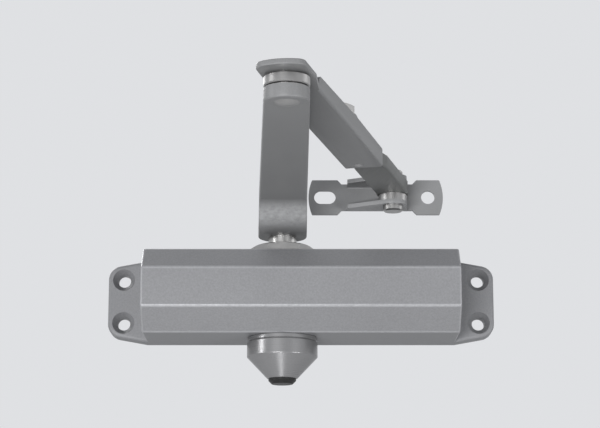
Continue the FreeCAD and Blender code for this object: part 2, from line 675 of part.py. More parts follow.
def rack_piston():
    """Piston with a window for the pinion; the rack is cut in the window's front wall."""
    piece = Piece("rack_piston", x="spindle_x", y="-spindle_depth")
    skirt = "bore_radius - running_gap"
    piece.revolve("X", outline(
        (PISTON_LEFT, "0"), (PISTON_LEFT, f"{skirt} - 0.8"), (f"{PISTON_LEFT} + 0.8", skirt),
        (f"{PISTON_RIGHT} - 0.8", skirt), (PISTON_RIGHT, f"{skirt} - 0.8"), (PISTON_RIGHT, "0")))
    tooth_top = f"-({PITCH_RADIUS} - {RACK_REACH} * gear_module)"
    tooth_foot = f"-({PITCH_RADIUS} + 1.25 * gear_module)"
    piece.cut_through("XY", rectangle(f"-{WINDOW_LEFT}", tooth_top, WINDOW_RIGHT,
                                      f"{TIP_RADIUS} + window_play"))
    pitch = math.pi * size("gear_module")
    middle = pitch / 4 + size("tooth_play") / 4
    slope = math.tan(math.radians(PRESSURE_ANGLE))
    wide = middle + (RACK_REACH * size("gear_module") + 0.2) * slope
    narrow = middle - 1.25 * size("gear_module") * slope
    first = 1.5 * pitch
    space = piece.cut_through("XY", outline(
        (first - wide, f"{tooth_top} + 0.2"), (first - narrow, tooth_foot),
        (first + narrow, tooth_foot), (first + wide, f"{tooth_top} + 0.2")))
    count = int(size(f"{WINDOW_LEFT} + {WINDOW_RIGHT}") / pitch)
    row = piece.feature("LinearPattern", Originals=[space], Occurrences=count, Reversed=True)
    row.Direction = (piece.datum["X_Axis"], [""])
    row.Length = pitch * (count - 1)
    piece.body.Tip = row
    piece.cut("YZ", BALL_POCKET, circle("0", "0", "ball_radius + 0.3"), offset=PISTON_LEFT,
              forwards=True)
    piece.cut("YZ", "piston_head", circle("0", "0", "0.6 * ball_radius"), offset=PISTON_LEFT,
              forwards=True)


def check_ball():
    """Steel ball that lets oil through the piston one way."""
    made = doc.addObject("Part::Sphere", "check_ball")
    made.Label = "check_ball"
    made.setExpression("Radius", bound("ball_radius"))
    place(made, x=f"spindle_x + {PISTON_LEFT} + {BALL_POCKET} - 0.8 * ball_radius - 0.02",
          y="-spindle_depth")
    pieces.append(made)


def ball_retainer():
    """Pressed ring that keeps the ball in its pocket."""
    piece = Piece("ball_retainer", x=f"spindle_x + {PISTON_LEFT}", y="-spindle_depth")
    piece.pad("YZ", "0.4 * ball_radius", circle("0", "0", "ball_radius + 0.3"),
              circle("0", "0", "0.6 * ball_radius"))


def closing_spring():
    """Compression spring between the piston and the right end plug; local +Z is the row's +X."""
    seat = f"spindle_x + {PISTON_RIGHT}"
    piece = Piece("closing_spring", x=seat, y="-spindle_depth", turn="90", about=(0, 1, 0))
    profile = piece.sketch("XZ", [octagon("spring_radius", "spring_wire / 2", "spring_wire / 2")])
    coil = piece.feature("AdditiveHelix", Profile=profile,
                         ReferenceAxis=(piece.datum["Z_Axis"], [""]), Mode="height-turns-angle")
    coil.setExpression("Height", bound(
        f"body_length / 2 - plug_recess - plug_length - ({seat}) - spring_wire"))
    coil.setExpression("Turns", bound("spring_turns"))


# ---------------------------------------------------------------- spindle cap

def cap_collar():
    """Ring between the casting and the cap."""
    piece = Piece("cap_collar", **bearing_spot(False))
    piece.pad("XY", "collar_height", circle("0", "0", "cap_radius - 0.2"),
              circle("0", "0", "cap_radius - cap_wall"))
    piece.bevel("0.3", lambda edge: ring_at(edge, "cap_radius - 0.2", "collar_height")
                or ring_at(edge, "cap_radius - 0.2", "0"))


def spindle_cap():
    """Turned tapering shell over the lower spindle end."""
    piece = Piece("spindle_cap", **bearing_spot(False))
    base = "collar_height"
    shoulder = f"{base} + cap_straight"
    tip = f"{shoulder} + cap_cone"
    piece.revolve("Z", outline(
        ("cap_radius - cap_wall", base), ("cap_radius", base), ("cap_radius", shoulder),
        ("cap_tip_radius", tip), ("cap_plug_radius", tip), ("cap_plug_radius", f"{tip} - cap_wall"),
        ("cap_tip_radius - 0.4 * cap_wall", f"{tip} - cap_wall"),
        ("cap_radius - cap_wall", f"{shoulder} - 0.4 * cap_wall")))
    piece.round("0.5", lambda edge: ring_at(edge, "cap_radius", shoulder)
                or ring_at(edge, "cap_radius", base) or ring_at(edge, "cap_tip_radius", tip))


def cap_plug():
    """Dark button that closes the end of the cap."""
    piece = Piece("cap_plug", **bearing_spot(False))
    tip = "collar_height + cap_straight + cap_cone"
    head = "cap_tip_radius - 0.5"
    piece.revolve("Z", outline(
        ("0", f"{tip} - cap_wall - 1.2"), ("cap_plug_radius - 0.4", f"{tip} - cap_wall - 1.2"),
        ("cap_plug_radius", f"{tip} - cap_wall"), ("cap_plug_radius", tip), (head, tip),
        (head, f"{tip} + 0.4 * cap_plug_height"), (f"{head} - 1.4", f"{tip} + cap_plug_height"),
        ("0", f"{tip} + cap_plug_height")))


# ---------------------------------------------------------------- main arm

def arm_plan():
    """Plan outline of the main arm: round hub, straight taper, round elbow end."""
    hub = "hub_width / 2"
    tip = "elbow_width / 2"
    return outline(*half_round("0", "0", hub, 0), *half_round("0", "-arm_length", tip, 180))


def main_arm():
    """Bar of even thickness, stepped up in front of the spindle; local -Y points to the elbow."""
    piece = Piece("main_arm", x="spindle_x", y="-spindle_depth", turn="arm_angle")
    back = "hub_width / 2 + 1"
    front = "-arm_length - elbow_width / 2 - 1"
    low = "-joggle_start"
    high = "-joggle_start - joggle_run"
    shift = "arm_thickness * tan(atan(joggle_rise / joggle_run) / 2)"
    piece.pad("YZ", "hub_width + 2", outline(
        (back, ARM_SEAT), (low, ARM_SEAT), (high, ARM_UNDER), (front, ARM_UNDER), (front, ARM_TOP),
        (f"{high} + {shift}", ARM_TOP), (f"{low} + {shift}", f"{ARM_SEAT} + arm_thickness"),
        (back, f"{ARM_SEAT} + arm_thickness")), both_ways=True)

    def bend(level):
        return lambda edge: (runs(edge, "x") and near(edge.CenterOfMass.z, level)
                             and size(front) + 1 < edge.CenterOfMass.y < size(back) - 1)

    piece.round("joggle_round", bend(f"{ARM_SEAT} + arm_thickness"))
    piece.round("joggle_round", bend(ARM_UNDER))
    piece.round("joggle_round + arm_thickness", bend(ARM_SEAT))
    piece.round("joggle_round + arm_thickness", bend(ARM_TOP))
    piece.cut_through("XY", rectangle("-hub_width", "-arm_length - elbow_width", "hub_width", "hub_width"),
                      arm_plan())
    piece.cut_through("XY", square("spindle_square / 2 + running_gap", "-arm_angle"))
    piece.cut_through("XY", circle("0", "-arm_length", "elbow_pin_radius"))


def hex_block(piece, floor, flats, height, hole):
    """A hexagon with a bevelled top, standing on a level, with a hole or none."""
    drawings = [hexagon(flats)]
    if hole:
        drawings.append(circle("0", "0", hole))
    piece.pad("XY", height, *drawings, offset=floor)
    corner = f"{flats} / sqrt(3) + 0.3"
    top = f"{floor} + {height}"
    piece.groove("Z", outline((f"{flats} / 2 - 0.3", f"{top} + 0.01"), (corner, f"{top} - 0.6"),
                              (corner, f"{top} + 0.01")))


def arm_screw():
    """Hexagon screw into the spindle's end."""
    piece = Piece("arm_screw", x="spindle_x", y="-spindle_depth")
    seat = f"{ARM_SEAT} + arm_thickness + arm_washer_height"
    hex_block(piece, seat, "arm_screw_flats", "arm_screw_head", None)
    piece.pad("XY", "arm_screw_length - 1", circle("0", "0", "arm_screw_radius"), offset=seat,
              backwards=True)


def arm_washer():
    piece = Piece("arm_washer", x="spindle_x", y="-spindle_depth")
    piece.pad("XY", "arm_washer_height", circle("0", "0", "arm_washer_radius"),
              circle("0", "0", "arm_screw_radius + 0.3"), offset=f"{ARM_SEAT} + arm_thickness")


# ---------------------------------------------------------------- elbow

ELBOW = {"x": ELBOW_X, "y": ELBOW_Y, "turn": "arm_angle"}
FOREARM = {"x": ELBOW_X, "y": ELBOW_Y, "turn": "-forearm_angle"}
ELBOW_NUT_SEAT = f"{CHANNEL_UNDER} + sheet_wall + slide_gap"


def elbow_pin():
    """Pin riveted into the main arm; the forearm turns on its shank, under the nut."""
    piece = Piece("elbow_pin", **ELBOW)
    thread = "0.7 * elbow_pin_radius"
    top = f"{ELBOW_NUT_SEAT} + elbow_nut_height + elbow_pin_proud"
    dome = "(elbow_head_radius ^ 2 + elbow_head_height ^ 2) / (2 * elbow_head_height)"
    sag = f"({dome} - sqrt(({dome}) ^ 2 - elbow_head_radius ^ 2 / 4))"
    floor = f"{ARM_UNDER} - elbow_head_height"
    piece.revolve("Z", outline(
        ("0", floor), Via("elbow_head_radius / 2", f"{floor} + {sag}", dome),
        ("elbow_head_radius", ARM_UNDER), ("elbow_pin_radius", ARM_UNDER),
        ("elbow_pin_radius", ELBOW_NUT_SEAT), (thread, ELBOW_NUT_SEAT), (thread, top), ("0", top)))


def elbow_spacer():
    """Bright turned spacer between main arm and forearm, reduced at both ends."""
    piece = Piece("elbow_spacer", **ELBOW)
    top = f"{CHANNEL_UNDER} - slide_gap"
    waist = "elbow_relief_radius"
    wide = "elbow_spacer_radius"
    lower = f"{ARM_TOP} + elbow_relief_height"
    upper = f"{top} - elbow_relief_height"
    piece.revolve("Z", outline(
        ("elbow_pin_radius", ARM_TOP), (waist, ARM_TOP), (waist, lower), (f"{wide} - 0.4", lower),
        (wide, f"{lower} + 0.4"), (wide, f"{upper} - 0.4"), (f"{wide} - 0.4", upper), (waist, upper),
        (waist, top), ("elbow_pin_radius", top)))


def elbow_nut():
    piece = Piece("elbow_nut", **ELBOW)
    hex_block(piece, ELBOW_NUT_SEAT, "elbow_nut_flats", "elbow_nut_height", "0.7 * elbow_pin_radius")


# ---------------------------------------------------------------- forearm

def u_section(middle, width, height, floor):
    """Cross section of a folded channel about a middle line, web on the given level, open upwards."""
    top = f"{floor} + {height}"
    slant = math.sqrt(0.5)

    def bend(sign, face, level, radius):
        """The fold's two ends and the point between them, from the web to the flange."""
        centre = f"{face} - {sign} * {radius}"
        return [(centre, level),
                Via(f"{centre} + {sign} * {slant:.9f} * {radius}",
                    f"{level} + {1 - slant:.9f} * {radius}", radius),
                (face, f"{level} + {radius}")]

    def side(sign):
        face = f"{middle} + {sign} * ({width}) / 2"
        inner = f"{face} - {sign} * sheet_wall"
        inside = bend(sign, inner, f"{floor} + sheet_wall", "bend_inside")
        return bend(sign, face, floor, "bend_outside") + [(face, top), (inner, top)] + inside[::-1]

    return outline(*side("1"), *reversed(side("-1")))


CHANNEL_LEFT = "(channel_offset - channel_width / 2)"
CHANNEL_RIGHT = "(channel_offset + channel_width / 2)"


def forearm_channel():
    """Folded channel from the elbow, open upwards; local +Y points to the shoe."""
    piece = Piece("forearm_channel", **FOREARM)
    top = f"{CHANNEL_UNDER} + channel_height"
    low = f"{CHANNEL_UNDER} + flange_low"
    web_top = f"{CHANNEL_UNDER} + sheet_wall"
    piece.pad("XZ", "channel_length - flange_start",
              u_section("channel_offset", "channel_width", "channel_height", CHANNEL_UNDER),
              offset="-channel_length")
    piece.cut_through("YZ", outline(("flange_start", low), ("flange_rise", top), ("flange_start", top)))
    piece.round("flange_corner", lambda edge: runs(edge, "x") and near(edge.CenterOfMass.z, low)
                and near(edge.CenterOfMass.y, "flange_start"))
    piece.round("0.8", lambda edge: runs(edge, "x") and near(edge.CenterOfMass.z, top)
                and near(edge.CenterOfMass.y, "channel_length"))
    half = "((nose_right + nose_left) / 2)"
    piece.pad("XY", "sheet_wall", outline(
        ("-nose_left", "-nose_side"),
        Via("(nose_right - nose_left) / 2", "-nose_side - nose_bulge",
            f"({half} ^ 2 + nose_bulge ^ 2) / (2 * nose_bulge)"),
        ("nose_right", "-nose_side"), ("nose_right", "nose_shoulder"),
        (CHANNEL_RIGHT, "flange_start"), (f"{CHANNEL_RIGHT} - sheet_wall", "flange_start + 1"),
        (f"{CHANNEL_LEFT} + sheet_wall", "flange_start + 1"), (CHANNEL_LEFT, "flange_start"),
        (CHANNEL_LEFT, "nose_shoulder")), offset=CHANNEL_UNDER)
    for side in ("left", "right"):
        sign = "-" if side == "left" else ""
        piece.round("nose_corner_" + side, lambda edge: runs(edge, "z") and near(
            edge.CenterOfMass.y, "-nose_side") and near(edge.CenterOfMass.x, f"{sign}nose_{side}"))
    piece.round("nose_rim", lambda edge: edge.BoundBox.ZLength < 0.01
                and edge.CenterOfMass.y < size("nose_shoulder")
                and (near(edge.CenterOfMass.z, web_top) or near(edge.CenterOfMass.z, CHANNEL_UNDER)))
    piece.cut_through("XY", circle("0", "0", "elbow_pin_radius + running_gap"))
    ear = "clamp_place + ear_place"
    piece.pad("YZ", "sheet_wall", outline(
        (f"{ear} - ear_half", f"{top} - 1"), (f"{ear} + ear_half", f"{top} - 1"),
        (f"{ear} + ear_half", top),
        Via(ear, f"{top} + ear_proud", "(ear_half ^ 2 + ear_proud ^ 2) / (2 * ear_proud)"),
        (f"{ear} - ear_half", top)), offset=f"{CHANNEL_RIGHT} - sheet_wall")
    dimple = piece.feature("SubtractiveCone")
    dimple.AttachmentSupport = [(piece.datum["XY_Plane"], "")]
    dimple.MapMode = "FlatFace"
    dimple.setExpression("AttachmentOffset.Base.x", bound("-dimple_side"))
    dimple.setExpression("AttachmentOffset.Base.y", bound("channel_length - dimple_place"))
    dimple.setExpression("AttachmentOffset.Base.z", bound(CHANNEL_UNDER))
    dimple.setExpression("Radius1", bound("dimple_radius"))
    dimple.setExpression("Radius2", bound("0.4 * dimple_radius"))
    dimple.setExpression("Height", bound("0.6 * sheet_wall"))


CLAMP_SEAT = f"{ROD_UNDER} + rod_height + clamp_rise"


def clamp_stud():
    """Stud welded to the channel's web; the rod's slot slides along it."""
    piece = Piece("clamp_stud", **FOREARM)
    floor = f"{CHANNEL_UNDER} + sheet_wall"
    piece.pad("XY", f"{CLAMP_SEAT} + clamp_nut_height + 1 - ({floor})",
              circle("channel_offset", "clamp_place", "clamp_radius"), offset=floor)


def clamp_spot():
    """The clamp's axis, in the forearm's direction from the elbow."""
    return {"x": f"{ELBOW_X} + clamp_place * sin(forearm_angle) + channel_offset * cos(forearm_angle)",
            "y": f"{ELBOW_Y} + clamp_place * cos(forearm_angle) - channel_offset * sin(forearm_angle)",
            "turn": "-forearm_angle"}


def clamp_collar():
    piece = Piece("clamp_collar", **clamp_spot())
    floor = f"{ROD_UNDER} + sheet_wall + slide_gap"
    piece.pad("XY", f"{CLAMP_SEAT} - ({floor})", circle("0", "0", "clamp_collar_radius"),
              circle("0", "0", "clamp_radius"), offset=floor)


def clamp_nut():
    piece = Piece("clamp_nut", **clamp_spot())
    hex_block(piece, CLAMP_SEAT, "clamp_nut_flats", "clamp_nut_height", "clamp_radius")


ROD_INSIDE = "(channel_width - 2 * sheet_wall - 2 * slide_gap)"


def long_slot(x, low, high, radius):
    """A slot along Y between two centres."""
    return outline(*half_round(x, low, radius, 180), *half_round(x, high, radius, 0))


def forearm_rod():
    """Inner channel that slides in the outer one, wider and lower beyond it, to its eye at the shoe."""
    piece = Piece("forearm_rod", **FOREARM)
    tail = "clamp_place - slide_out - rod_tail"
    step_top = "channel_length + slide_in + 0.5"
    step_foot = f"{step_top} + rod_joggle_run"
    flange_end = f"{REACH} - 1"
    half = "rod_width / 2"
    narrow = u_section("channel_offset", ROD_INSIDE, "rod_height", ROD_UNDER)
    wide = u_section("0", "rod_width", "rod_height", ROD_EYE)
    piece.pad("XZ", f"{step_top} - ({tail})", narrow, offset=f"-({step_top})")
    step = piece.feature("AdditiveLoft", Ruled=True)
    step.Profile = piece.sketch("XZ", [narrow], offset=f"-({step_top})")
    step.Sections = [piece.sketch("XZ", [wide], offset=f"-({step_foot})")]
    piece.pad("XZ", f"{flange_end} - ({step_foot})", wide, offset=f"-({flange_end})")
    piece.pad("XY", "sheet_wall", outline(
        (f"-{half}", f"{REACH} - 3"), (half, f"{REACH} - 3"), *half_round("0", REACH, half, 0)),
        offset=ROD_EYE)
    piece.cut_through("XY", circle("0", REACH, "rivet_radius + running_gap"))
    piece.cut_through("XY", long_slot("channel_offset", "clamp_place - slide_out - 0.3",
                                      "clamp_place + slide_in + 0.3", "clamp_radius + 0.2"))


# ---------------------------------------------------------------- shoe

SHOE = {"x": PIVOT_X, "y": "-shoe_back"}
SHOE_TOP = f"{SHOE_EAR} + shoe_height"


def shoe_bracket():
    """Pressed bracket: a plate with a hole and a slot, and two ears folded towards the forearm."""
    piece = Piece("shoe_bracket", **SHOE)
    front = "shoe_back - shoe_wall"
    nose = "ear_nose"
    inner_low = f"{SHOE_EAR} + shoe_wall"
    inner_high = f"{SHOE_TOP} - shoe_wall"
    piece.pad("YZ", "ear_left + ear_right", outline(
        ("-2 * ear_nose", SHOE_EAR), ("shoe_back", SHOE_EAR), ("shoe_back", SHOE_TOP),
        ("-2 * ear_nose", SHOE_TOP), ("-2 * ear_nose", inner_high), (front, inner_high),
        (front, inner_low), ("-2 * ear_nose", inner_low)), offset="-ear_left")

    def folded(depth):
        return lambda edge: runs(edge, "x") and near(edge.CenterOfMass.y, depth)

    piece.round("shoe_bend", folded(front))
    piece.round("shoe_bend + shoe_wall", folded("shoe_back"))
    edge_depth = "(shoe_back - ear_shallow)"
    away = f"(ear_left ^ 2 + {edge_depth} ^ 2)"
    tangent = f"sqrt({away} - {nose} ^ 2)"
    piece.cut_through("XY", outline(
        ("-ear_left - 1", edge_depth), ("-ear_left", edge_depth),
        (f"-{nose} * (ear_left * {nose} + {edge_depth} * {tangent}) / {away}",
         f"{nose} * ({edge_depth} * {nose} - ear_left * {tangent}) / {away}"),
        Via(f"0.64 * {nose}", f"-sqrt(1 - 0.64 ^ 2) * {nose}", nose), (nose, "0"),
        ("ear_right", front), ("ear_right + 1", front), ("ear_right + 1", "-3 * ear_nose"),
        ("-ear_left - 1", "-3 * ear_nose")))
    middle = f"{SHOE_EAR} + shoe_height / 2"
    wing_low = f"{middle} - wing_height / 2"
    wing_high = f"{middle} + wing_height / 2"
    bulge = "((wing_height / 2) ^ 2 + wing_bulge ^ 2) / (2 * wing_bulge)"
    for sign, tip, root in (("-", "-shoe_left", "-ear_left"),
                            ("+", "shoe_length - shoe_left", "ear_right")):
        corner = f"{tip} - {sign}1 * wing_bulge"
        foot = f"{root} + {sign}1 * wing_step"
        head = f"{foot} + {sign}1 * wing_step_run"
        lower = [(root, f"{SHOE_EAR} + shoe_notch"), (foot, f"{SHOE_EAR} + shoe_notch"),
                 (head, wing_low), (corner, wing_low)]
        upper = [(corner, wing_high), (head, wing_high), (foot, f"{SHOE_TOP} - shoe_notch"),
                 (root, f"{SHOE_TOP} - shoe_notch")]
        spots = lower + [Via(tip, middle, bulge)] + upper
        if sign == "-":
            spots.reverse()
        piece.pad("XZ", "shoe_wall", outline(*spots), offset="-shoe_back")
    piece.round("wing_rim", lambda edge: runs(edge, "y")
                and (near(edge.CenterOfMass.z, wing_low) or near(edge.CenterOfMass.z, wing_high)))
    piece.cut_through("XY", circle("0", "0", "rivet_radius"))
    piece.cut_through("XZ", circle("shoe_hole_place", middle, "shoe_hole_radius"))
    reach = "(shoe_slot_length / 2 - shoe_hole_radius)"
    piece.cut_through("XZ", outline(
        *half_round(f"-shoe_slot_place - {reach}", middle, "shoe_hole_radius", 90),
        *half_round(f"-shoe_slot_place + {reach}", middle, "shoe_hole_radius", 270)))


def shoe_rivet():
    """Rivet through both ears, the two spacers and the rod's eye."""
    piece = Piece("shoe_rivet", **SHOE)
    head = "rivet_head_radius"
    floor = f"{SHOE_EAR} - rivet_head_height"
    top = f"{SHOE_TOP} + rivet_head_height"
    piece.revolve("Z", outline(
        ("0", floor), (f"{head} - 0.6", floor), (head, f"{floor} + 0.6"), (head, SHOE_EAR),
        ("rivet_radius", SHOE_EAR), ("rivet_radius", SHOE_TOP), (head, SHOE_TOP),
        (head, f"{top} - 0.6"), (f"{head} - 0.6", top), ("0", top)))


def shoe_spacer(name, radius, floor, top):
    piece = Piece(name, **SHOE)
    piece.pad("XY", f"{top} - ({floor})", circle("0", "0", radius), circle("0", "0", "rivet_radius"),
              offset=floor)
    return piece


# ---------------------------------------------------------------- build and write

def build():
    casting()
    end_plug("end_plug_left", False)
    end_plug("end_plug_right", True)
    plug_seal("plug_seal_left", False)
    plug_seal("plug_seal_right", True)
    valve_screw("closing_valve", "valve_spacing / 2")
    valve_screw("latching_valve", "-valve_spacing / 2")
    valve_seal("closing_valve_seal", "valve_spacing / 2")
    valve_seal("latching_valve_seal", "-valve_spacing / 2")
    for upper, word in ((True, "upper"), (False, "lower")):
        bearing_nut("bearing_nut_" + word, upper)
        bearing_bush("bearing_bush_" + word, upper)
        shaft_seal("shaft_seal_" + word, upper)
    pinion_spindle()
    rack_piston()
    check_ball()
    ball_retainer()
    closing_spring()
    cap_collar()
    spindle_cap()
    cap_plug()
    main_arm()
    arm_washer()
    arm_screw()
    elbow_pin()
    elbow_spacer()
    elbow_nut()
    forearm_channel()
    clamp_stud()
    clamp_collar()
    clamp_nut()
    forearm_rod()
    shoe_bracket()
    shoe_rivet()
    shoe_spacer("shoe_spacer_lower", "lower_spacer_radius", f"{SHOE_EAR} + shoe_wall",
                f"{ROD_EYE} - slide_gap")
    shoe_spacer("shoe_spacer_upper", "upper_spacer_radius", f"{ROD_EYE} + sheet_wall + slide_gap",
                f"{SHOE_TOP} - shoe_wall")


def check():
    """Stop on any failed object or bad shape before a file is written."""
    doc.recompute()
    for thing in doc.Objects:
        if "Invalid" in thing.State or "Error" in thing.State:
            raise RuntimeError(f"{thing.Label} failed: {thing.State}")
    for piece in pieces:
        if piece.Shape.isNull() or not piece.Shape.isValid() or not piece.Shape.Solids:
            raise RuntimeError(f"{piece.Label} has no valid solid")


build()
check()
os.makedirs("parts", exist_ok=True)
for piece in pieces:
    piece.Shape.exportStep(f"parts/{piece.Label}.step")
print(len(pieces), "sub-parts written")
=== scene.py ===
import json
import math

import bpy
import bmesh
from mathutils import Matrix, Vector


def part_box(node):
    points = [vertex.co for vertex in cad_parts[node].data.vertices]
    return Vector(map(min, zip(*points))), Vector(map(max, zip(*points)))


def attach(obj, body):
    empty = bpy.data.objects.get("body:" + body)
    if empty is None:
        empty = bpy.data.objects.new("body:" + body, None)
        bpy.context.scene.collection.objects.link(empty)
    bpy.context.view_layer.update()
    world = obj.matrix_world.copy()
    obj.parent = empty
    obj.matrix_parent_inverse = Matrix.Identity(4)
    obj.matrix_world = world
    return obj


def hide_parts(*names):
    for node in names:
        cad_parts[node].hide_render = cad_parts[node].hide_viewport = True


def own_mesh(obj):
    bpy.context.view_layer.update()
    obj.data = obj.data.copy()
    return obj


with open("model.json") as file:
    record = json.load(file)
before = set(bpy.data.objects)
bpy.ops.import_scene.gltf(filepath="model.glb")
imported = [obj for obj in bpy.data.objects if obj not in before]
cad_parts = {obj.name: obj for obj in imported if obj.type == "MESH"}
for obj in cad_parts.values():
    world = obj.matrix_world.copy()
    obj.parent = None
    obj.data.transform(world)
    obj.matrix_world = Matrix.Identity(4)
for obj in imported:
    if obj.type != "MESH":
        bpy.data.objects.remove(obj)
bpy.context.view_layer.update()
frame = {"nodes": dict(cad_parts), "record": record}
print("frame loaded:", len(frame["nodes"]), "sub-parts")


# shader maths written as plain expressions

class Wire:
    def __init__(self, finish, socket):
        self.finish = finish
        self.socket = socket

    def math(self, operation, first, second):
        return self.finish.node("ShaderNodeMath", {"operation": operation}, {0: first, 1: second})

    def __add__(self, other):
        return self.math("ADD", self, other)

    def __sub__(self, other):
        return self.math("SUBTRACT", self, other)

    def __mul__(self, other):
        return self.math("MULTIPLY", self, other)

    def over(self, other):
        return self.math("MAXIMUM", self, other)

    def size(self):
        return self.math("ABSOLUTE", self, 0.0)


class Finish:
    def __init__(self, name, **sockets):
        self.material = bpy.data.materials.new(name)
        self.material.use_nodes = True
        self.tree = self.material.node_tree
        self.shader = self.tree.nodes["Principled BSDF"]
        self.place = self.node("ShaderNodeTexCoord", {}, {}, "Object")
        for label, value in sockets.items():
            self.set(label.replace("_", " "), value)

    def node(self, kind, settings, values, output=0):
        made = self.tree.nodes.new(kind)
        for label, value in settings.items():
            setattr(made, label, value)
        for label, value in values.items():
            self.join(made.inputs[label], value)
        return Wire(self, made.outputs[output])

    def join(self, socket, value):
        if isinstance(value, Wire):
            self.tree.links.new(value.socket, socket)
        else:
            socket.default_value = value

    def set(self, label, value):
        self.join(self.shader.inputs[label], value)

    def noise(self, plan, place=None):
        scale, detail, roughness = plan
        return self.node("ShaderNodeTexNoise", {}, {"Vector": place or self.place, "Scale": scale,
                                                    "Detail": detail, "Roughness": roughness}, "Fac")

    def between(self, low, high, amount):
        return self.node("ShaderNodeMapRange", {}, {"Value": amount, "To Min": low, "To Max": high}, "Result")

    def blend(self, first, second, amount):
        return self.node("ShaderNodeMix", {"data_type": "RGBA"}, {"Factor": amount, 6: first, 7: second}, 2)

    def bump(self, height, distance, strength=1.0):
        self.set("Normal", self.node("ShaderNodeBump", {}, {"Strength": strength, "Distance": distance,
                                                            "Height": height}, "Normal"))

    def scaled(self, vector, factors):
        return self.node("ShaderNodeVectorMath", {"operation": "MULTIPLY"}, {0: vector, 1: factors})

    def length(self, vector):
        return self.node("ShaderNodeVectorMath", {"operation": "LENGTH"}, {0: vector}, "Value")

    def radius(self, spot):
        shift = self.node("ShaderNodeVectorMath", {"operation": "SUBTRACT"}, {0: self.place, 1: spot})
        return self.length(self.scaled(shift, (1, 1, 0)))

    def axis(self, name):
        return self.node("ShaderNodeSeparateXYZ", {}, {0: self.place}, name)

    def near(self, distance, inside, outside):
        settings = {"interpolation_type": "SMOOTHSTEP"}
        values = {"Value": distance, "From Min": inside, "From Max": outside, "To Min": 1.0, "To Max": 0.0}
        return self.node("ShaderNodeMapRange", settings, values, "Result")


def grey(level, tint=(1.0, 1.0, 1.0)):
    return tuple(level * part for part in tint) + (1.0,)


# finishes: each noise is given by its scale, detail and roughness

# casting paint; the lighter grey along the facet edges and lug ends is edge wear and a painted highlight
casting = {"tint": (0.98, 0.99, 1.03), "greys": (0.20, 0.36), "wearAndHighlight": 0.50, "metal": 0.08, "gloss": 0.16,
           "flakes": (1300, 3.0, 0.6), "clouds": (22, 3.0, 0.5), "wearAndHighlightNoise": (700, 3.0, 0.7),
           "relief": (780, 2.0, 0.5), "shares": (0.7, 0.3), "wearAndHighlightRange": (0.1, 0.9), "wearAndHighlightMetal": 0.3,
           "rough": (0.38, 0.55), "roughShares": (0.5, 0.5), "wearAndHighlightRough": 0.34, "depth": 0.00006,
           "strength": 0.8,
           "edges": ((0.0456, 0.0083), (0.0352, 0.018)), "end": 0.0672, "lug": 0.0085,
           "reach": (0.00035, 0.001)}


# mask of the facet edges and lug ends that get the lighter grey: a painted edge highlight, mottled like edge
# wear
def castingEdges(paint):
    x, y, z = (paint.axis(name) for name in "XYZ")
    mask = paint.near((x.size() - casting["end"]).size(), *casting["reach"])
    mask = mask * paint.node("ShaderNodeMath", {"operation": "LESS_THAN"},
                             {0: y, 1: -casting["lug"] - casting["reach"][1]})
    for depth, height in casting["edges"]:
        spot = paint.node("ShaderNodeCombineXYZ", {}, {"Y": y + depth, "Z": z.size() - height})
        mask = mask.over(paint.near(paint.length(spot), *casting["reach"]))
    return mask


def castingPaint():
    paint = Finish("castingPaint", Specular_IOR_Level=casting["gloss"])
    dark, light = (grey(level, casting["tint"]) for level in casting["greys"])
    flakes = paint.noise(casting["flakes"])
    clouds = paint.noise(casting["clouds"])
    # painted edge highlight and edge wear: lighter, more metallic and smoother paint along the edges
    wearAndHighlight = castingEdges(paint) * paint.between(*casting["wearAndHighlightRange"], paint.noise(casting["wearAndHighlightNoise"]))
    first, second = casting["shares"]
    base = paint.blend(dark, light, flakes * first + clouds * second)
    paint.set("Base Color", paint.blend(base, grey(casting["wearAndHighlight"], casting["tint"]), wearAndHighlight))
    paint.set("Metallic", wearAndHighlight * casting["wearAndHighlightMetal"] + casting["metal"])
    first, second = casting["roughShares"]
    rough = paint.between(*casting["rough"], flakes * first + clouds * second)
    paint.set("Roughness", rough - wearAndHighlight * (rough - casting["wearAndHighlightRough"]))
    paint.bump(paint.noise(casting["relief"]), casting["depth"], casting["strength"])
    return paint.material


# bar paint; the shoe's greys are a lighter copy of the arm's paint, painted light that brightens the shoe
# where the arm's shadow falls
bar = {"tint": (0.98, 0.99, 1.01), "arm": (0.18, 0.30), "shoe": (0.23, 0.37), "metal": 0.08, "gloss": 0.18,
       "flakes": (2200, 2.0, 0.5), "clouds": (35, 3.0, 0.5), "relief": (1100, 2.0, 0.5),
       "shares": (0.6, 0.4), "rough": (0.34, 0.48), "roughShares": (0.4, 0.6), "depth": 0.00003,
       "strength": 0.6, "bendHighlight": 0.54, "bend": -0.0435, "bendReach": (0.001, 0.009),
       "bendHighlightNoise": (450, 3.0, 0.7), "bendHighlightRange": (-0.1, 1.0), "hubShade": 0.05, "hub": (-0.008, -0.021, 0),
       "hubReach": (0.008, 0.018), "hubShadeNoise": (150, 3.0, 0.6), "hubShadeRange": (0.2, 0.7)}


# the arm's painted light: a painted highlight across the bend and painted shade around the hub, both
# underneath
def armHighlightAndShade(paint, colour):
    # painted highlight: a lighter mottled grey across the soft bend underneath the arm
    bend = paint.near((paint.axis("Y") - bar["bend"]).size(), *bar["bendReach"])
    bendHighlight = bend * paint.between(*bar["bendHighlightRange"], paint.noise(bar["bendHighlightNoise"]))
    # painted shade: near-black patches around the spindle hub underneath the arm
    hub = paint.near(paint.radius(bar["hub"]), *bar["hubReach"])
    hubShade = hub * paint.between(*bar["hubShadeRange"], paint.noise(bar["hubShadeNoise"]))
    colour = paint.blend(colour, grey(bar["bendHighlight"], bar["tint"]), bendHighlight)
    return paint.blend(colour, grey(bar["hubShade"]), hubShade)


